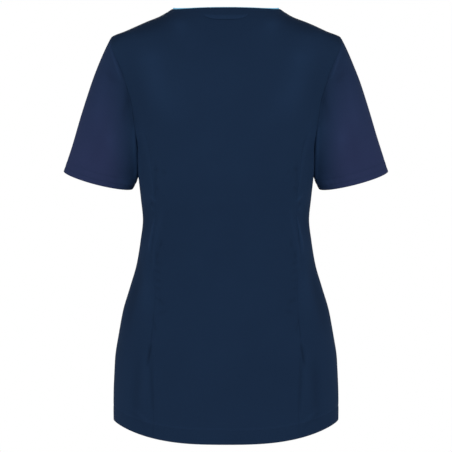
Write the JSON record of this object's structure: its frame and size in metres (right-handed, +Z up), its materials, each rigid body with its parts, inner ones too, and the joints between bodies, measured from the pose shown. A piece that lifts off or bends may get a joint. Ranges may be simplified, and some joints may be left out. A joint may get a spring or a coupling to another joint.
{
  "type": "work blouse",
  "caption": "Women's fitted short-sleeved work blouse, worn, as a hollow form: shaped back panels, curved hem, plain neck with inner tape and hanger loop.",
  "frame": {"origin": "midway between the two points where the shoulder seams meet the neck edge, where the wearer's shoulders hold the blouse", "axes": "+Z up; the wearer faces -Y, so the back of the blouse is at +Y; +X is the wearer's left"},
  "size_m": [0.5556, 0.2449, 0.7265],
  "materials": {
    "body_cloth": "matt navy twill",
    "sleeve_cloth": "matt navy twill, a little more violet",
    "neck_tape": "light-blue cotton tape"
  },
  "bodies": {
    "root": {"back_centre": "body_cloth", "back_side_left": "body_cloth", "back_side_right": "body_cloth", "front": "body_cloth", "sleeve_left": "sleeve_cloth", "sleeve_right": "sleeve_cloth", "neck_tape": "neck_tape", "hanger_loop": "body_cloth"}
  },
  "joints": []
}
